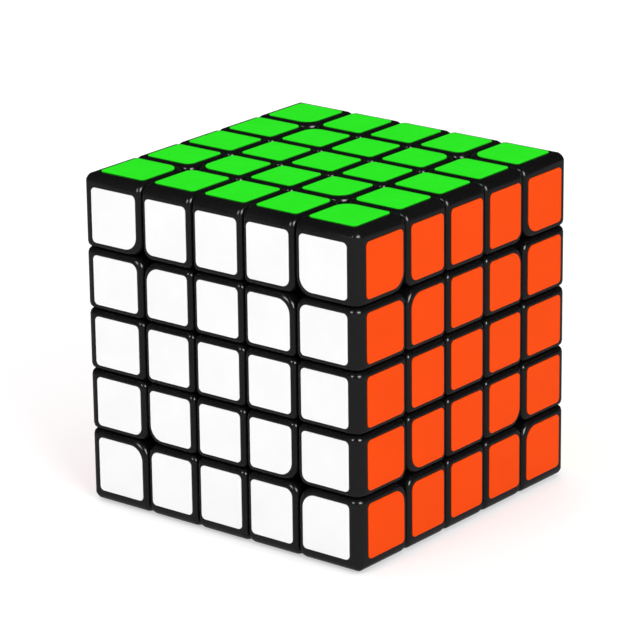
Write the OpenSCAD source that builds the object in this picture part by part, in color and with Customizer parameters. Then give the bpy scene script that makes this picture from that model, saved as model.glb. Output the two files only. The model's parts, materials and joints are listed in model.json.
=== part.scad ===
// Twisty puzzle cube, 5 x 5 x 5 layers.
// Black plastic pieces carry one coloured sticker on each outer face.
// The origin is the centre of the core; right is +X, front is -Y, up is +Z.
// Every layer boundary is a surface of revolution about its own axis, so each
// outer layer turns freely; feet at the inner end of the pieces lock under
// their neighbours, and the six fixed centres are screwed to the core.

/* [Cube] */
// Width of the cube over its stickers
cube_size = 62; // [60:0.5:66]
// Width of each of the three inner layers
inner_layer_w = 11.44; // [11.2:0.02:11.8]
// Clearance between neighbouring pieces
gap = 0.2; // [0.16:0.01:0.24]

/* [Edges] */
// Rounding of the piece edges along the grooves
groove_r = 0.9; // [0.5:0.05:1]
// Rounding of the cube's own twelve edges
outer_edge_r = 2; // [1.5:0.1:2.4]
// Rounding of an ordinary upright corner of a piece
small_corner_r = 1.2; // [1:0.05:1.5]
// Rounding of the edge pieces where four grooves cross beside a cube corner
medium_corner_r = 2; // [1.6:0.1:2.4]
// Rounding of the corner and inner centre pieces at the same crossing
large_corner_r = 3.2; // [2.6:0.1:3.6]

/* [Stickers] */
// Thickness of a sticker
sticker_t = 0.15; // [0.1:0.01:0.25]
// Distance from a groove's middle to the sticker beside it
sticker_margin = 1.12; // [0.9:0.02:1.2]
// Width of the bare plastic border along the cube's edges
border_w = 2.45; // [2.2:0.05:2.8]
// Ordinary corner radius of a sticker
sticker_small_r = 0.85; // [0.6:0.05:1]
// Sticker corner radius on the edge pieces at a crossing
sticker_medium_r = 1.5; // [1.2:0.05:1.8]
// Sticker corner radius on corner and inner centre pieces at a crossing
sticker_large_r = 2.65; // [2.3:0.05:3]

/* [Mechanism] */
// Half angle of the cone that bounds an outer layer
outer_cone = 60; // [59:0.25:61]
// Half angle of the same cone at the level of the feet
outer_foot_cone = 66; // [65:0.25:67]
// Half angle of the cone that bounds an inner layer
inner_cone = 78; // [77.5:0.25:78.5]
// Half width of the middle layer at the level of the feet
foot_half_w = 2.8; // [2.7:0.02:2.9]
// Distance from the cube's centre to the underside of the feet
foot_r0 = 15.5; // [15:0.1:16]
// Distance from the cube's centre to the top of the feet
foot_r1 = 19.4; // [18.8:0.1:20]

/* [Core] */
// Radius of the core's ball
core_ball_r = 8; // [7:0.1:8.6]
// Radius of a core arm
core_arm_r = 3.4; // [3:0.1:3.8]
// Radius of the round heel under each fixed centre
heel_r = 4; // [3.6:0.1:4.2]
// Diameter of the tension screw's thread
screw_d = 2.5; // [2:0.1:2.6]
// Diameter of the screw's head
head_d = 5.2; // [4.8:0.1:5.6]
// Diameter of the pocket for spring and screw head
pocket_d = 6.6; // [6.2:0.1:6.8]
// Height of the pocket's floor above the cube's centre
pocket_z = 21.6; // [21.2:0.1:22]
// Radius of the spring to the middle of its wire
spring_r = 2.35; // [2.2:0.05:2.5]
// Thickness of the spring's wire
wire_t = 0.5; // [0.4:0.05:0.55]

/* [Hidden] */
$fn = 64;
half = cube_size / 2;
skin = half - sticker_t;
cut_in = inner_layer_w / 2;
cut_out = 1.5 * inner_layer_w;
in0 = cut_in + gap / 2;
in1 = cut_out - gap / 2;
out0 = cut_out + gap / 2;
far = 70;
cap_z = pocket_z + 5.2;
arm_end = 10.4;
heel_z0 = arm_end + 0.2;
heel_z1 = 14.7;
washer_t = 0.4;
spring_z0 = pocket_z + 0.1;
spring_h = 2.2;
washer_z = spring_z0 + spring_h + 0.1;
head_z = washer_z + washer_t + 0.05;
head_t = 1.5;
black = [0.02, 0.02, 0.022];
core_col = [0.82, 0.82, 0.8];
steel = [0.62, 0.63, 0.65];
col_up = [0.02, 0.75, 0.03];
col_down = [0.01, 0.08, 0.6];
col_front = [0.93, 0.93, 0.93];
col_back = [0.95, 0.75, 0.01];
col_right = [0.9, 0.1, 0.01];
col_left = [0.6, 0.01, 0.015];
col_mixed = [0.7, 0.7, 0.7];

// name, rotation that carries the upper face there, sticker colour
FACES = [
  ["up", [0, 0, 0], col_up],
  ["down", [180, 0, 0], col_down],
  ["front", [90, 0, 0], col_front],
  ["back", [-90, 0, 0], col_back],
  ["right", [0, 90, 0], col_right],
  ["left", [0, -90, 0], col_left],
];
// name, rotation that carries the upper right edge there
EDGES = [
  ["up_right", [0, 0, 0]],
  ["up_back", [0, 0, 90]],
  ["up_left", [0, 0, 180]],
  ["up_front", [0, 0, 270]],
  ["down_right", [0, 90, 0]],
  ["down_back", [0, 90, 90]],
  ["down_left", [0, 90, 180]],
  ["down_front", [0, 90, 270]],
  ["right_back", [-90, 0, 0]],
  ["left_back", [-90, 0, 90]],
  ["left_front", [-90, 0, 180]],
  ["right_front", [-90, 0, 270]],
];
// name, rotation that carries the upper back right corner there
CORNERS = [
  ["up_right_back", [0, 0, 0]],
  ["up_left_back", [0, 0, 90]],
  ["up_left_front", [0, 0, 180]],
  ["up_right_front", [0, 0, 270]],
  ["down_right_front", [180, 0, 0]],
  ["down_right_back", [180, 0, 90]],
  ["down_left_back", [180, 0, 180]],
  ["down_left_front", [180, 0, 270]],
];

// ---- layer boundaries ----

// Turns a shape drawn about +Z to the axis +Z (0), +X (1) or +Y (2)
module about(axis) {
  rotate(axis == 0 ? [0, 0, 0] : axis == 1 ? [0, 90, 0] : [-90, 0, 0])
    children();
}

// Cone with its tip at the cube's centre and half angle a, shrunk by d
module cone(axis, a, d, z0, z1) {
  s = d / sin(a);
  about(axis)
    translate([0, 0, z0])
      cylinder(h = z1 - z0, r1 = (z0 - s) * tan(a), r2 = (z1 - s) * tan(a));
}

module outer_in(axis) {
  cone(axis, outer_cone, gap / 2, 5, 45);
}

module outer_out(axis) {
  cone(axis, outer_cone, -gap / 2, 5, 45);
}

module inner_in(axis) {
  cone(axis, inner_cone, gap / 2, 2, 45);
}

module inner_out(axis) {
  cone(axis, inner_cone, -gap / 2, 2, 45);
}

module foot_in(axis) {
  cone(axis, outer_foot_cone, gap / 2, 5, 22);
}

module foot_out(axis) {
  cone(axis, outer_foot_cone, -gap / 2, 5, 22);
}

// Ball under the wide upper part of a piece
module under() {
  sphere(foot_r1 + gap / 2);
}

// Balls round and inside the feet
module foot_top() {
  sphere(foot_r1 - gap / 2);
}

module foot_base() {
  sphere(foot_r0);
}

// ---- rounded blocks ----

// What a rounding of radius r removes at the origin corner
module corner_cut(r) {
  difference() {
    translate([-1, -1]) square(r + 1);
    translate([r, r]) circle(r);
  }
}

// Rectangle with its own radius at each corner, from (x0, y0) counter-clockwise
module rrect(x0, y0, x1, y1, r) {
  difference() {
    translate([x0, y0]) square([x1 - x0, y1 - y0]);
    translate([x0, y0]) corner_cut(r[0]);
    translate([x1, y0]) mirror([1, 0]) corner_cut(r[1]);
    translate([x1, y1]) mirror([1, 0]) mirror([0, 1]) corner_cut(r[2]);
    translate([x0, y1]) mirror([0, 1]) corner_cut(r[3]);
  }
}

// Extrusions along Z, X and Y of shapes drawn in XY, YZ and XZ
module along_z(z0, z1) {
  translate([0, 0, z0]) linear_extrude(height = z1 - z0) children();
}

module along_x(x0, x1) {
  translate([x0, 0, 0]) rotate([90, 0, 90]) linear_extrude(height = x1 - x0)
    children();
}

module along_y(y0, y1) {
  translate([0, y1, 0]) rotate([90, 0, 0]) linear_extrude(height = y1 - y0)
    children();
}

// Rounds the upper edge round an upright corner of radius r whose tip is the
// origin and whose piece lies towards +X +Y, below the face at height z
module rim_cut(r, z) {
  // Three chords of the rounding, cut a little deeper than the arc itself
  b = groove_r;
  deep = 0.02;
  c = r - b;
  k = b - deep;
  top = max(0.05, c - 0.6);
  translate([r, r, 0])
    difference() {
      translate([-r - 1, -r - 1, z - 2]) cube([r + 1, r + 1, 3]);
      rotate_extrude()
        polygon([
          [0, z - 4],
          [r + 1, z - 4],
          [r + 0.3, z - b - (0.3 + deep) / tan(15)],
          [c + k * sin(60), z - b + k * cos(60)],
          [c + k * sin(30), z - b + k * cos(30)],
          [top, z - deep + (c - top) * tan(15)],
          [0, z - deep + (c - top) * tan(15)],
        ]);
    }
}

// The same at all four upright corners of a block, radii in rrect's order
module rim_cuts(x0, y0, x1, y1, r) {
  tips = [[x0, y0, 0], [x1, y0, 0], [x1, y1, 0], [x0, y1, 0]];
  for (i = [0 : 3])
    translate(tips[i]) rotate([0, 0, 90 * i]) rim_cut(r[i], skin);
}

// Rounds the end at y of the bend that runs along the cube's +X +Z edge
module bend_cut(y) {
  translate([skin, 0, skin])
    rotate([-90, 0, 0]) rotate([0, 0, 90]) rim_cut(outer_edge_r, y);
}

// ---- plastic pieces, drawn for the upper face or the +X +Z edge ----

// Visible block of a corner piece
module corner_block() {
  r = [large_corner_r, groove_r, outer_edge_r, groove_r];
  difference() {
    intersection() {
      along_z(out0, skin) rrect(out0, out0, skin, skin, r);
      along_x(out0, skin) rrect(out0, out0, skin, skin, r);
      along_y(out0, skin) rrect(out0, out0, skin, skin, r);
    }
    for (i = [0, 1, 2])
      rotate(i == 0 ? [0, 0, 0] : i == 1 ? [90, 0, 90] : [0, -90, -90]) {
        translate([out0, out0, 0]) rim_cut(large_corner_r, skin);
        mirror([0, 1, 0]) bend_cut(-out0);
      }
    tip_cut();
  }
}

// Rounds the tip of a cube corner to a ball
module tip_cut() {
  e = skin - outer_edge_r;
  translate([e, e, e])
    difference() {
      cube(outer_edge_r + 1);
      sphere(outer_edge_r + 0.1);
    }
}

// Corner piece of the +X +Y +Z corner
module corner_piece() {
  union() {
    corner_block();
    difference() {
      intersection() {
        cube(28);
        outer_in(0);
        outer_in(1);
        outer_in(2);
      }
      under();
    }
    difference() {
      intersection() {
        foot_top();
        foot_in(0);
        foot_in(1);
        foot_in(2);
      }
      foot_base();
    }
    rotate([0, acos(1 / sqrt(3)), 45])
      translate([0, 0, 16.5]) cylinder(h = 5.5, r = 1.5);
  }
}

// Block of an edge piece between y0 and y1; r0 and r1 round its crossing ends
module edge_block(y0, y1, r0, r1) {
  g = groove_r;
  difference() {
    intersection() {
      along_z(out0 - 4, skin) rrect(out0, y0, skin, y1, [r0, g, g, r1]);
      along_x(out0 - 4, skin) rrect(y0, out0, y1, skin, [r0, r1, g, g]);
      along_y(y0, y1)
        rrect(out0, out0, skin, skin, [g, g, outer_edge_r, g]);
    }
    for (m = [0, 1])
      rotate([0, 90 * m, 0]) mirror([m, 0, 0]) {
        translate([out0, y0, 0]) rim_cut(r0, skin);
        translate([out0, y1, 0]) rotate([0, 0, 270]) rim_cut(r1, skin);
      }
    bend_cut(y1);
    mirror([0, 1, 0]) bend_cut(-y0);
  }
}

// Wing edge piece on the +Y side
module wing_piece() {
  w = foot_half_w + gap / 2;
  union() {
    difference() {
      union() {
        edge_block(in0, in1, small_corner_r, medium_corner_r);
        intersection() {
          translate([5, 2, 5]) cube([24, in1 - 2.9, 24]);
          outer_in(0);
          outer_in(1);
          inner_in(2);
        }
      }
      outer_out(2);
      under();
    }
    difference() {
      intersection() {
        foot_top();
        foot_in(0);
        foot_in(1);
        translate([5, w, 5]) cube([15, 10, 15]);
      }
      foot_out(2);
      foot_base();
    }
    rotate([0, 45, 0]) translate([-2.8, 4.6, 17]) cube([5.6, 2.6, 2.9]);
  }
}

// Middle edge piece
module midge_piece() {
  w = foot_half_w - gap / 2;
  v = cut_in - gap / 2;
  union() {
    difference() {
      union() {
        edge_block(-v, v, small_corner_r, small_corner_r);
        intersection() {
          translate([5, 0.8 - v, 5]) cube([24, 2 * v - 1.6, 24]);
          outer_in(0);
          outer_in(1);
        }
      }
      inner_out(2);
      mirror([0, 1, 0]) inner_out(2);
      under();
    }
    difference() {
      intersection() {
        foot_top();
        foot_in(0);
        foot_in(1);
        translate([5, -w, 5]) cube([15, 2 * w, 15]);
      }
      foot_base();
    }
    rotate([0, 45, 0]) translate([-3, -2.5, 17]) cube([6, 5, 4]);
  }
}

// Block of a centre piece with the radii of its four upright corners
module centre_block(x0, y0, x1, y1, z0, r) {
  g = groove_r;
  difference() {
    intersection() {
      along_z(z0, skin) rrect(x0, y0, x1, y1, r);
      along_x(x0, x1) rrect(y0, z0 - 1, y1, skin, [0.5, 0.5, g, g]);
      along_y(y0, y1) rrect(x0, z0 - 1, x1, skin, [0.5, 0.5, g, g]);
    }
    rim_cuts(x0, y0, x1, y1, r);
  }
}

// Centre piece on a face's diagonal
module x_centre_piece() {
  s = small_corner_r;
  w = foot_half_w + gap / 2;
  union() {
    difference() {
      union() {
        centre_block(in0, in0, in1, in1, 22, [s, s, large_corner_r, s]);
        intersection() {
          translate([2, 2, 10]) cube([in1 - 2.9, in1 - 2.9, 18.4]);
          inner_in(1);
          inner_in(2);
        }
      }
      outer_out(1);
      outer_out(2);
      under();
    }
    difference() {
      intersection() {
        foot_top();
        translate([w, w, 8]) cube([10, 10, 14]);
      }
      foot_out(1);
      foot_out(2);
      foot_base();
    }
    translate([4.6, 4.6, 16.4]) cube([2.6, 2.6, 3]);
  }
}

// Centre piece on a face's middle line, +Y side
module t_centre_piece() {
  s = small_corner_r;
  v = cut_in - gap / 2;
  w = foot_half_w - gap / 2;
  union() {
    difference() {
      union() {
        centre_block(-v, in0, v, in1, 22, [s, s, s, s]);
        intersection() {
          translate([0.8 - v, 2, 10]) cube([2 * v - 1.6, in1 - 2.9, 18.4]);
          inner_in(2);
        }
      }
      inner_out(1);
      mirror([1, 0, 0]) inner_out(1);
      outer_out(2);
      under();
    }
    difference() {
      intersection() {
        foot_top();
        translate([-w, foot_half_w + gap / 2, 8]) cube([2 * w, 10, 14]);
      }
      foot_out(2);
      foot_base();
    }
    translate([-2.4, 4.6, 16.6]) cube([4.8, 2.6, 3]);
  }
}

// Column of the fixed centre, bored for screw and spring
module fixed_centre() {
  v = cut_in - 0.9;
  w = foot_half_w - gap / 2;
  difference() {
    union() {
      difference() {
        translate([-v, -v, heel_z1]) cube([2 * v, 2 * v, cap_z - heel_z1]);
        for (i = [0, 1])
          mirror([i, 0, 0]) inner_out(1);
        for (i = [0, 1])
          mirror([0, i, 0]) inner_out(2);
        under();
      }
      translate([-w, -w, heel_z1 - 1]) cube([2 * w, 2 * w, 7]);
      translate([0, 0, heel_z0])
        cylinder(h = heel_z1 - heel_z0, r = heel_r);
    }
    translate([0, 0, heel_z0 - 1]) cylinder(h = 20, d = screw_d + 0.3);
    translate([0, 0, pocket_z]) cylinder(h = 10, d = pocket_d);
  }
}

// Cap that closes the fixed centre
module centre_cap() {
  s = small_corner_r;
  v = cut_in - gap / 2;
  union() {
    centre_block(-v, -v, v, v, cap_z + 0.1, [s, s, s, s]);
    translate([0, 0, cap_z - 0.6]) cylinder(h = 1.6, d = pocket_d - 0.3);
  }
}

module centre_pieces() {
  fixed_centre();
  centre_cap();
  for (a = [0, 90, 180, 270])
    rotate([0, 0, a]) {
      t_centre_piece();
      x_centre_piece();
    }
}

module edge_pieces() {
  midge_piece();
  wing_piece();
  mirror([0, 1, 0]) wing_piece();
}

// ---- stickers ----

st_in = cut_in - sticker_margin;
st_a = cut_in + sticker_margin;
st_b = cut_out - sticker_margin;
st_c = cut_out + sticker_margin + 0.1;
st_d = half - border_w;

// One sticker lying on the upper face
module sticker(x0, y0, x1, y1, r) {
  along_z(skin, half) rrect(x0, y0, x1, y1, r);
}

module centre_stickers() {
  s = sticker_small_r;
  l = sticker_large_r;
  sticker(-st_in, -st_in, st_in, st_in, [s, s, s, s]);
  for (a = [0, 90, 180, 270])
    rotate([0, 0, a]) {
      sticker(-st_in, st_a, st_in, st_b, [s, s, s, s]);
      sticker(st_a, st_a, st_b, st_b, [s, s, l, s]);
    }
}

module edge_stickers() {
  s = sticker_small_r;
  m = sticker_medium_r;
  for (i = [0, 1])
    rotate([0, 90 * i, 0]) mirror([i, 0, 0]) {
      sticker(st_c, -st_in, st_d, st_in, [s, s, s, s]);
      sticker(st_c, st_a, st_d, st_b, [s, s, s, m]);
      sticker(st_c, -st_b, st_d, -st_a, [m, s, s, s]);
    }
}

module corner_stickers() {
  s = sticker_small_r;
  l = sticker_large_r;
  for (i = [0, 1, 2])
    rotate(i == 0 ? [0, 0, 0] : i == 1 ? [90, 0, 90] : [0, -90, -90])
      sticker(st_c, st_c, st_d, st_d, [l, s, s, s]);
}

// ---- core and tension parts ----

// Turns a part drawn along +Z to all six faces
module to_faces() {
  for (f = FACES)
    rotate(f[1]) children();
}

module core() {
  color(core_col)
    difference() {
      union() {
        sphere(core_ball_r);
        to_faces() cylinder(h = arm_end, r = core_arm_r);
      }
      to_faces()
        translate([0, 0, 4]) cylinder(h = 10, d = screw_d + 0.1);
    }
}

// Screw with a domed head and a crosswise slot
module tension_screws() {
  color(steel)
    to_faces()
      difference() {
        union() {
          translate([0, 0, 5]) cylinder(h = head_z + 0.5 - 5, d = screw_d);
          translate([0, 0, head_z]) cylinder(h = head_t * 0.6, d = head_d);
          translate([0, 0, head_z + head_t * 0.6])
            cylinder(h = head_t * 0.4, d1 = head_d, d2 = head_d - 1.2);
        }
        for (a = [0, 90])
          rotate([0, 0, a])
            translate([-1.5, -0.3, head_z + head_t - 0.8])
              cube([3, 0.6, 2]);
      }
}

// Flat wire wound three turns
module tension_springs() {
  turns = 3;
  sweep = 100;
  ro = spring_r + wire_t / 2;
  ri = spring_r - wire_t / 2;
  color(steel)
    to_faces()
      translate([0, 0, spring_z0])
        linear_extrude(height = spring_h, twist = -360 * turns,
          slices = 30, $fn = 8)
          polygon(concat(
            [for (i = [0 : 3]) ro * [cos(sweep * i / 3), sin(sweep * i / 3)]],
            [for (i = [3 : -1 : 0]) ri * [cos(sweep * i / 3), sin(sweep * i / 3)]]
          ));
}

module spring_washers() {
  color(steel)
    to_faces()
      translate([0, 0, washer_z])
        difference() {
          cylinder(h = washer_t, d = pocket_d - 0.5);
          translate([0, 0, -1]) cylinder(h = 3, d = screw_d + 0.4);
        }
}

// ---- nodes ----

module face_body(i) {
  color(black) rotate(FACES[i][1]) centre_pieces();
}

module face_skin(i) {
  color(FACES[i][2]) rotate(FACES[i][1]) centre_stickers();
}

module edge_body(i) {
  color(black) rotate(EDGES[i][1]) edge_pieces();
}

module edge_skin(i) {
  color(col_mixed) rotate(EDGES[i][1]) edge_stickers();
}

module corner_body(i) {
  color(black) rotate(CORNERS[i][1]) corner_piece();
}

module corner_skin(i) {
  color(col_mixed) rotate(CORNERS[i][1]) corner_stickers();
}

module centres_up() {
  face_body(0);
}

module centres_down() {
  face_body(1);
}

module centres_front() {
  face_body(2);
}

module centres_back() {
  face_body(3);
}

module centres_right() {
  face_body(4);
}

module centres_left() {
  face_body(5);
}

module stickers_up() {
  face_skin(0);
}

module stickers_down() {
  face_skin(1);
}

module stickers_front() {
  face_skin(2);
}

module stickers_back() {
  face_skin(3);
}

module stickers_right() {
  face_skin(4);
}

module stickers_left() {
  face_skin(5);
}

module edge_up_right() {
  edge_body(0);
}

module edge_up_back() {
  edge_body(1);
}

module edge_up_left() {
  edge_body(2);
}

module edge_up_front() {
  edge_body(3);
}

module edge_down_right() {
  edge_body(4);
}

module edge_down_back() {
  edge_body(5);
}

module edge_down_left() {
  edge_body(6);
}

module edge_down_front() {
  edge_body(7);
}

module edge_right_back() {
  edge_body(8);
}

module edge_left_back() {
  edge_body(9);
}

module edge_left_front() {
  edge_body(10);
}

module edge_right_front() {
  edge_body(11);
}

module stickers_up_right() {
  edge_skin(0);
}

module stickers_up_back() {
  edge_skin(1);
}

module stickers_up_left() {
  edge_skin(2);
}

module stickers_up_front() {
  edge_skin(3);
}

module stickers_down_right() {
  edge_skin(4);
}

module stickers_down_back() {
  edge_skin(5);
}

module stickers_down_left() {
  edge_skin(6);
}

module stickers_down_front() {
  edge_skin(7);
}

module stickers_right_back() {
  edge_skin(8);
}

module stickers_left_back() {
  edge_skin(9);
}

module stickers_left_front() {
  edge_skin(10);
}

module stickers_right_front() {
  edge_skin(11);
}

module corner_up_right_back() {
  corner_body(0);
}

module corner_up_left_back() {
  corner_body(1);
}

module corner_up_left_front() {
  corner_body(2);
}

module corner_up_right_front() {
  corner_body(3);
}

module corner_down_right_front() {
  corner_body(4);
}

module corner_down_right_back() {
  corner_body(5);
}

module corner_down_left_back() {
  corner_body(6);
}

module corner_down_left_front() {
  corner_body(7);
}

module stickers_up_right_back() {
  corner_skin(0);
}

module stickers_up_left_back() {
  corner_skin(1);
}

module stickers_up_left_front() {
  corner_skin(2);
}

module stickers_up_right_front() {
  corner_skin(3);
}

module stickers_down_right_front() {
  corner_skin(4);
}

module stickers_down_right_back() {
  corner_skin(5);
}

module stickers_down_left_back() {
  corner_skin(6);
}

module stickers_down_left_front() {
  corner_skin(7);
}

core();
tension_screws();
tension_springs();
spring_washers();
centres_up();
centres_down();
centres_front();
centres_back();
centres_right();
centres_left();
stickers_up();
stickers_down();
stickers_front();
stickers_back();
stickers_right();
stickers_left();
edge_up_right();
edge_up_back();
edge_up_left();
edge_up_front();
edge_down_right();
edge_down_back();
edge_down_left();
edge_down_front();
edge_right_back();
edge_left_back();
edge_left_front();
edge_right_front();
stickers_up_right();
stickers_up_back();
stickers_up_left();
stickers_up_front();
stickers_down_right();
stickers_down_back();
stickers_down_left();
stickers_down_front();
stickers_right_back();
stickers_left_back();
stickers_left_front();
stickers_right_front();
corner_up_right_back();
corner_up_left_back();
corner_up_left_front();
corner_up_right_front();
corner_down_right_front();
corner_down_right_back();
corner_down_left_back();
corner_down_left_front();
stickers_up_right_back();
stickers_up_left_back();
stickers_up_left_front();
stickers_up_right_front();
stickers_down_right_front();
stickers_down_right_back();
stickers_down_left_back();
stickers_down_left_front();
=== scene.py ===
"""Looks of a five-layer twisty puzzle cube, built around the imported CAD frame."""

import json
import math

import bmesh
import bpy
from mathutils import Matrix, Vector


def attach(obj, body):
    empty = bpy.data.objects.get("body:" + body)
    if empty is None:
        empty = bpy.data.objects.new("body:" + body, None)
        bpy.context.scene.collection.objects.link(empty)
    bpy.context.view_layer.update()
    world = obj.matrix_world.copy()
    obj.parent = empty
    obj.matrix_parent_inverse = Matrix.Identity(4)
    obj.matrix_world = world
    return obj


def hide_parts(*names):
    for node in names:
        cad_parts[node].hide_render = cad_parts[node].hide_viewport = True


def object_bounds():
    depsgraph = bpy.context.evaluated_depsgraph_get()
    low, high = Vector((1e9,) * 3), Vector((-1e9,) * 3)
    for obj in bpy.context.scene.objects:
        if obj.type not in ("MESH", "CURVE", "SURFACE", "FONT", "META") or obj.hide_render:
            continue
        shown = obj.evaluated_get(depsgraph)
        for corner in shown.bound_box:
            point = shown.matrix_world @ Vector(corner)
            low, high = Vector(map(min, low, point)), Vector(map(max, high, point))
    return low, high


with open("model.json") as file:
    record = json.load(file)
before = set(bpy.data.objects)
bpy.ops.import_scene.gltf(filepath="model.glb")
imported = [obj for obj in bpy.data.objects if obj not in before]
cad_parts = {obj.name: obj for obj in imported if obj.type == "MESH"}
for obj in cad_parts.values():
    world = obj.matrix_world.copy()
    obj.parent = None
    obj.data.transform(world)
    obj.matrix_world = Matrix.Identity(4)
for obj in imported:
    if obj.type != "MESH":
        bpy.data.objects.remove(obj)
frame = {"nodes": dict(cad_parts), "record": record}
CAD_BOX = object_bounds()
MM = 0.001
WHITE = (1, 1, 1, 1)

FACE_SLOT = {
    "up": "sticker_green", "down": "sticker_blue",
    "front": "sticker_white", "back": "sticker_yellow",
    "right": "sticker_orange", "left": "sticker_red",
}
FACE_NORMAL = {
    "up": (0, 0, 1), "down": (0, 0, -1),
    "front": (0, -1, 0), "back": (0, 1, 0),
    "right": (1, 0, 0), "left": (-1, 0, 0),
}

low, high = (Vector(corner) for corner in CAD_BOX)
centre = (low + high) / 2
half_width = (high.x - low.x) / 2


# ---- shader helpers ----

def new_material(name, **sockets):
    """A Principled material with the given socket values, and its tree."""
    mat = bpy.data.materials.new(name)
    mat.use_nodes = True
    tree = mat.node_tree
    bsdf = tree.nodes["Principled BSDF"]
    for key, value in sockets.items():
        bsdf.inputs[key.replace("_", " ")].default_value = value
    return mat, tree, bsdf


def add(tree, kind, **sockets):
    """A new node with the given socket values."""
    node = tree.nodes.new(kind)
    for key, value in sockets.items():
        node.inputs[key].default_value = value
    return node


def noise(tree, scale, detail, rough):
    """Noise fixed to the object, with scale in waves per metre."""
    coord = add(tree, "ShaderNodeTexCoord")
    tex = add(tree, "ShaderNodeTexNoise", Scale=scale, Detail=detail,
              Roughness=rough)
    tree.links.new(coord.outputs["Object"], tex.inputs["Vector"])
    return tex.outputs["Fac"]


def ramp(tree, fac, *stops):
    """A colour that goes from the first (position, colour) to the second."""
    node = add(tree, "ShaderNodeValToRGB")
    tree.links.new(fac, node.inputs["Fac"])
    for element, (pos, colour) in zip(node.color_ramp.elements, stops):
        element.position = pos
        element.color = (*colour, 1.0)
    return node.outputs["Color"]


def remap(tree, fac, low_out, high_out, low_in=0.3, high_in=0.7):
    """The value stretched from one range to another and held at its ends."""
    node = add(tree, "ShaderNodeMapRange")
    for key, value in (("From Min", low_in), ("From Max", high_in),
                       ("To Min", low_out), ("To Max", high_out)):
        node.inputs[key].default_value = value
    tree.links.new(fac, node.inputs["Value"])
    return node.outputs["Result"]


def bump(tree, height, strength, distance, normal=None):
    """A bumped normal, laid over another one where it is given."""
    node = add(tree, "ShaderNodeBump", Strength=strength, Distance=distance)
    tree.links.new(height, node.inputs["Height"])
    if normal is not None:
        tree.links.new(normal, node.inputs["Normal"])
    return node.outputs["Normal"]


# ---- materials ----

def moulded_plastic(name, dark, light, rough, specular):
    """Satin moulded plastic: slow tone shifts, fine grain, faint ripple."""
    mat, tree, bsdf = new_material(name, Specular_IOR_Level=specular)
    tone = noise(tree, scale=55.0, detail=4.0, rough=0.6)
    tree.links.new(ramp(tree, tone, (0.3, dark), (0.7, light)),
                   bsdf.inputs["Base Color"])
    rub = noise(tree, scale=240.0, detail=5.0, rough=0.65)
    tree.links.new(remap(tree, rub, *rough), bsdf.inputs["Roughness"])
    grain = noise(tree, scale=5200.0, detail=2.0, rough=0.5)
    ripple = noise(tree, scale=190.0, detail=2.0, rough=0.5)
    normal = bump(tree, ripple, strength=0.12, distance=0.3 * MM)
    normal = bump(tree, grain, strength=0.10, distance=0.04 * MM,
                  normal=normal)
    tree.links.new(normal, bsdf.inputs["Normal"])
    return mat


def vinyl(name, colour):
    """Smooth printed vinyl: even colour, soft orange-peel, handling marks."""
    mat, tree, bsdf = new_material(name, Specular_IOR_Level=0.05)
    shade = tuple(c * 0.97 for c in colour)
    tone = noise(tree, scale=120.0, detail=3.0, rough=0.55)
    tree.links.new(ramp(tree, tone, (0.35, shade), (0.65, colour)),
                   bsdf.inputs["Base Color"])
    rub = noise(tree, scale=420.0, detail=6.0, rough=0.7)
    tree.links.new(remap(tree, rub, 0.36, 0.52), bsdf.inputs["Roughness"])
    peel = noise(tree, scale=900.0, detail=2.0, rough=0.5)
    tree.links.new(bump(tree, peel, strength=0.15, distance=0.05 * MM),
                   bsdf.inputs["Normal"])
    return mat


def metal(name, colour, rough):
    """Plated metal: patchy tone and shine over a fine grain."""
    mat, tree, bsdf = new_material(name, Metallic=1.0)
    tone = noise(tree, scale=900.0, detail=4.0, rough=0.6)
    shade = tuple(c * 0.85 for c in colour)
    tree.links.new(ramp(tree, tone, (0.3, shade), (0.7, colour)),
                   bsdf.inputs["Base Color"])
    tree.links.new(remap(tree, tone, *rough), bsdf.inputs["Roughness"])
    fine = noise(tree, scale=7000.0, detail=2.0, rough=0.5)
    tree.links.new(bump(tree, fine, strength=0.1, distance=0.03 * MM),
                   bsdf.inputs["Normal"])
    return mat


BLACK = moulded_plastic(
    "black_abs", dark=(0.0046, 0.0044, 0.0045),
    light=(0.0066, 0.0063, 0.0065), rough=(0.16, 0.26), specular=0.8)
NYLON = moulded_plastic(
    "core_nylon", dark=(0.66, 0.65, 0.62),
    light=(0.74, 0.73, 0.70), rough=(0.40, 0.52), specular=0.4)
STEEL = metal("zinc_steel", colour=(0.60, 0.61, 0.63), rough=(0.25, 0.4))
VINYL = {
    "sticker_white": vinyl("vinyl_white", (0.872, 0.872, 0.88)),
    "sticker_yellow": vinyl("vinyl_yellow", (0.90, 0.66, 0.006)),
    "sticker_green": vinyl("vinyl_green", (0.020, 0.80, 0.013)),
    "sticker_blue": vinyl("vinyl_blue", (0.006, 0.075, 0.56)),
    "sticker_orange": vinyl("vinyl_orange", (0.88, 0.066, 0.0004)),
    "sticker_red": vinyl("vinyl_red", (0.58, 0.005, 0.010)),
}


# ---- CAD nodes that stay: even shading and a finish ----

SHARP_ANGLE = math.radians(32)
WELD_DISTANCE = 0.002 * MM
NORMAL_WEIGHT = 60


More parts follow.
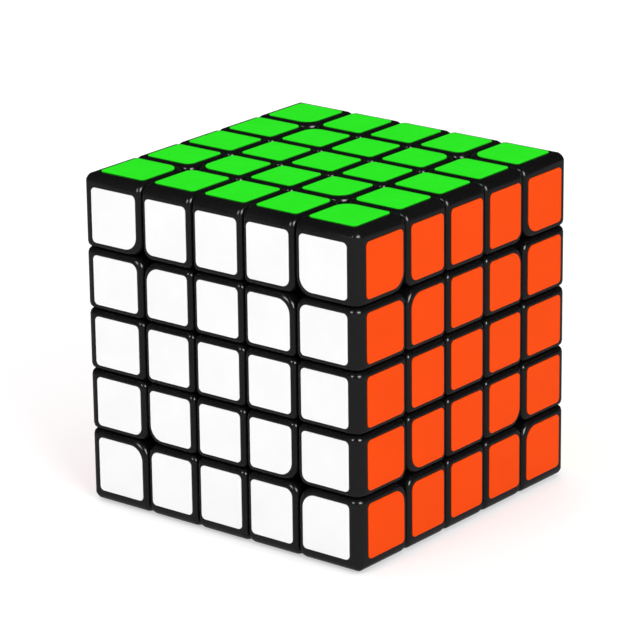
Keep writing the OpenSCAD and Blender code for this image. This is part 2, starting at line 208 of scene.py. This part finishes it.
def shading_tree():
    """Shades smooth up to the sharp angle, without the imported normals."""
    tree = bpy.data.node_groups.new("edge_shading", "GeometryNodeTree")
    for side in ("INPUT", "OUTPUT"):
        tree.interface.new_socket("Geometry", in_out=side,
                                  socket_type="NodeSocketGeometry")
    into = tree.nodes.new("NodeGroupInput")
    out = tree.nodes.new("NodeGroupOutput")
    drop = add(tree, "GeometryNodeRemoveAttribute", Name="custom_normal")
    smooth = tree.nodes.new("GeometryNodeSetShadeSmooth")
    smooth.domain = "FACE"
    angle = tree.nodes.new("GeometryNodeInputMeshEdgeAngle")
    test = tree.nodes.new("FunctionNodeCompare")
    test.data_type = "FLOAT"
    test.operation = "LESS_THAN"
    test.inputs["B"].default_value = SHARP_ANGLE
    edges = tree.nodes.new("GeometryNodeSetShadeSmooth")
    edges.domain = "EDGE"
    link = tree.links.new
    link(into.outputs[0], drop.inputs["Geometry"])
    link(drop.outputs["Geometry"], smooth.inputs["Geometry"])
    link(smooth.outputs["Geometry"], edges.inputs["Geometry"])
    link(angle.outputs["Unsigned Angle"], test.inputs["A"])
    link(test.outputs["Result"], edges.inputs["Shade Smooth"])
    link(edges.outputs["Geometry"], out.inputs[0])
    return tree


SHADING = shading_tree()


def dress(node, material):
    """Gives a CAD node its material and even shading."""
    obj = frame["nodes"][node]
    for slot in obj.material_slots:
        slot.material = material
    weld = obj.modifiers.new("weld", "WELD")
    weld.merge_threshold = WELD_DISTANCE
    shade = obj.modifiers.new("edge_shading", "NODES")
    shade.node_group = SHADING
    even = obj.modifiers.new("even_normals", "WEIGHTED_NORMAL")
    even.keep_sharp = True
    even.weight = NORMAL_WEIGHT


# ---- stickers ----

STICKER_T = 0.15 * MM
# The edge's profile: how far in from the outline, in mm, and how far down
# from the top, as a share of the thickness.
EDGE_STEPS = ((0.0, 1.0), (0.004, 0.62), (0.02, 0.28), (0.05, 0.08), (0.09, 0.0))
TOP_TOLERANCE = 0.02 * MM
SAME_POINT = 0.001 * MM


def outlines(node):
    """The outer outlines of a CAD node's stickers, by the face they are on."""
    obj = frame["nodes"][node]
    bm = bmesh.new()
    bm.from_mesh(obj.data)
    bmesh.ops.transform(bm, matrix=obj.matrix_world, verts=bm.verts)
    bmesh.ops.remove_doubles(bm, verts=bm.verts, dist=SAME_POINT)
    found = {}
    for face, direction in FACE_NORMAL.items():
        normal = Vector(direction)
        top = {f for f in bm.faces
               if all((v.co - centre).dot(normal) > half_width - TOP_TOLERANCE
                      for v in f.verts)}
        following = {}
        for f in bm.faces:
            if f not in top:
                continue
            for loop in f.loops:
                if sum(g in top for g in loop.edge.link_faces) == 1:
                    following[loop.vert.index] = loop.link_loop_next.vert.index
        bm.verts.ensure_lookup_table()
        while following:
            ring, at = [], next(iter(following))
            while at in following:
                ring.append(bm.verts[at].co.copy())
                at = following.pop(at)
            found.setdefault(face, []).append(ring)
    bm.free()
    return found


def inset(ring, normal, distance):
    """The ring moved inwards by distance in its own plane."""
    out = []
    count = len(ring)
    for i, p in enumerate(ring):
        before = (p - ring[i - 1]).normalized()
        after = (ring[(i + 1) % count] - p).normalized()
        inward = normal.cross(before)
        middle = (inward + normal.cross(after)).normalized()
        out.append(p + middle * (distance / max(middle.dot(inward), 0.5)))
    return out


def sticker_mesh(name, normal, rings):
    """Thin vinyl pieces with softly rounded edges, one per outline."""
    bm = bmesh.new()
    for ring in rings:
        levels = []
        for step_in, step_down in EDGE_STEPS:
            down = normal * (step_down * STICKER_T)
            levels.append([bm.verts.new(p - down)
                           for p in inset(ring, normal, step_in * MM)])
        count = len(ring)
        for lower, upper in zip(levels, levels[1:]):
            for i in range(count):
                j = (i + 1) % count
                side = bm.faces.new((lower[i], lower[j], upper[j], upper[i]))
                side.smooth = True
        bm.faces.new(levels[-1])
        bm.faces.new(list(reversed(levels[0])))
    mesh = bpy.data.meshes.new(name)
    bm.to_mesh(mesh)
    bm.free()
    return mesh


def make_stickers(body, node):
    """Replaces a CAD node's stickers with one finished piece per colour."""
    place = node.removeprefix("stickers_")
    for face, rings in outlines(node).items():
        slot = FACE_SLOT[face]
        name = f"vinyl_{place}_{slot.removeprefix('sticker_')}"
        mesh = sticker_mesh(name, Vector(FACE_NORMAL[face]), rings)
        mesh.materials.append(VINYL[slot])
        obj = bpy.data.objects.new(name, mesh)
        bpy.context.collection.objects.link(obj)
        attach(obj, body)
        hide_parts(node)


for body, nodes in frame["record"]["behaviour"]["bodies"].items():
    for node in nodes:
        if node.startswith("stickers_"):
            make_stickers(body, node)
        elif node == "core":
            dress(node, NYLON)
        elif node.startswith(("tension_", "spring_")):
            dress(node, STEEL)
        else:
            dress(node, BLACK)


# ---- camera ----

CAMERA = {
    "azimuth": 38.416, "elevation": 18.468, "roll": -0.639,
    "distance": 0.6497, "lens": 202.5, "sensor": 36,
    "shift_x": -0.01315, "shift_y": 0.00962,
    "clip_start": 0.01, "clip_end": 100,
}


def around(azimuth, elevation):
    """The direction that lies azimuth degrees to the right of the front."""
    a, e = math.radians(azimuth), math.radians(elevation)
    return Vector((math.sin(a) * math.cos(e), -math.cos(a) * math.cos(e),
                   math.sin(e)))


def make_camera():
    """A long-lens camera aimed at the centre, with a slight roll."""
    data = bpy.data.cameras.new("camera")
    data.lens = CAMERA["lens"]
    data.sensor_width = CAMERA["sensor"]
    data.shift_x = CAMERA["shift_x"]
    data.shift_y = CAMERA["shift_y"]
    data.clip_start = CAMERA["clip_start"]
    data.clip_end = CAMERA["clip_end"]
    azimuth = math.radians(CAMERA["azimuth"])
    roll = math.radians(CAMERA["roll"])
    back = around(CAMERA["azimuth"], CAMERA["elevation"])
    level = Vector((math.cos(azimuth), math.sin(azimuth), 0))
    upright = back.cross(level)
    right = level * math.cos(roll) + upright * math.sin(roll)
    up = upright * math.cos(roll) - level * math.sin(roll)
    obj = bpy.data.objects.new("camera", data)
    obj.matrix_world = (
        Matrix.Translation(centre + back * CAMERA["distance"])
        @ Matrix((right, up, back)).transposed().to_4x4()
    )
    bpy.context.collection.objects.link(obj)
    bpy.context.scene.camera = obj


make_camera()


# ---- stage and light ----

FLOOR_WIDTH = 30
FLOOR_GAP = 0.02 * MM
FLOOR_GLOW = 0.45
LIGHT_DISTANCE = 3.0


def floor_paper():
    """Matt pale paper that glows a little, so that it comes out white."""
    mat, tree, bsdf = new_material(
        "floor_paper", Specular_IOR_Level=0.1, Roughness=0.8,
        Emission_Color=WHITE, Emission_Strength=FLOOR_GLOW)
    pale = (0.62, 0.62, 0.62)
    shade = tuple(c * 0.99 for c in pale)
    tone = noise(tree, scale=3.0, detail=3.0, rough=0.5)
    tree.links.new(ramp(tree, tone, (0.3, shade), (0.7, pale)),
                   bsdf.inputs["Base Color"])
    return mat


def make_floor():
    """A wide flat floor just under the cube, left out of its gloss."""
    mesh = bpy.data.meshes.new("floor")
    s = FLOOR_WIDTH / 2
    mesh.from_pydata([(-s, -s, 0), (s, -s, 0), (s, s, 0), (-s, s, 0)], [],
                     [(0, 1, 2, 3)])
    mesh.materials.append(floor_paper())
    obj = bpy.data.objects.new("floor", mesh)
    obj.location = (centre.x, centre.y, low.z - FLOOR_GAP)
    bpy.context.collection.objects.link(obj)
    obj.visible_glossy = False


def softbox(name, azimuth, elevation, width, height, power):
    """A rectangular soft light that faces the centre."""
    data = bpy.data.lights.new(name, "AREA")
    data.shape = "RECTANGLE"
    data.size = width
    data.size_y = height
    data.energy = power
    direction = around(azimuth, elevation)
    obj = bpy.data.objects.new(name, data)
    obj.location = centre + direction * LIGHT_DISTANCE
    obj.rotation_euler = direction.to_track_quat("Z", "Y").to_euler()
    bpy.context.collection.objects.link(obj)
    return obj


def studio_world():
    """Light that is dim near the horizon and bright overhead.

    Gloss sees a dim table below the horizon and a dark room above it, and
    the background is plain white.
    """
    world = bpy.data.worlds.new("studio")
    world.use_nodes = True
    tree = world.node_tree
    coord = add(tree, "ShaderNodeTexCoord")
    split = add(tree, "ShaderNodeSeparateXYZ")
    tree.links.new(coord.outputs["Generated"], split.inputs["Vector"])
    height = split.outputs["Z"]
    path = add(tree, "ShaderNodeLightPath")

    def background(strength=None):
        node = add(tree, "ShaderNodeBackground", Color=WHITE, Strength=1.0)
        if strength is not None:
            tree.links.new(strength, node.inputs["Strength"])
        return node.outputs["Background"]

    def switch(ray, off, on):
        node = add(tree, "ShaderNodeMixShader")
        tree.links.new(path.outputs[ray], node.inputs["Fac"])
        tree.links.new(off, node.inputs[1])
        tree.links.new(on, node.inputs[2])
        return node.outputs["Shader"]

    sky = background(remap(tree, height, 0.05, 1.35, 0.45, 0.9))
    room = background(remap(tree, height, 0.17, 0.012, -0.12, 0.08))
    lit = switch("Is Glossy Ray", sky, room)
    seen = switch("Is Camera Ray", lit, background())
    tree.links.new(seen, tree.nodes["World Output"].inputs["Surface"])
    world.cycles.sampling_method = "NONE"
    bpy.context.scene.world = world


make_floor()
studio_world()
bpy.context.scene.view_settings.view_transform = "Standard"
softbox("key_left", -10, 27, width=1.1, height=1.4, power=24.4)
softbox("key_right", 68, 27, width=1.3, height=1.6, power=48.0)
fill = softbox("fill_back", 225, 12, width=2.0, height=2.0, power=25.0)
fill.visible_glossy = False
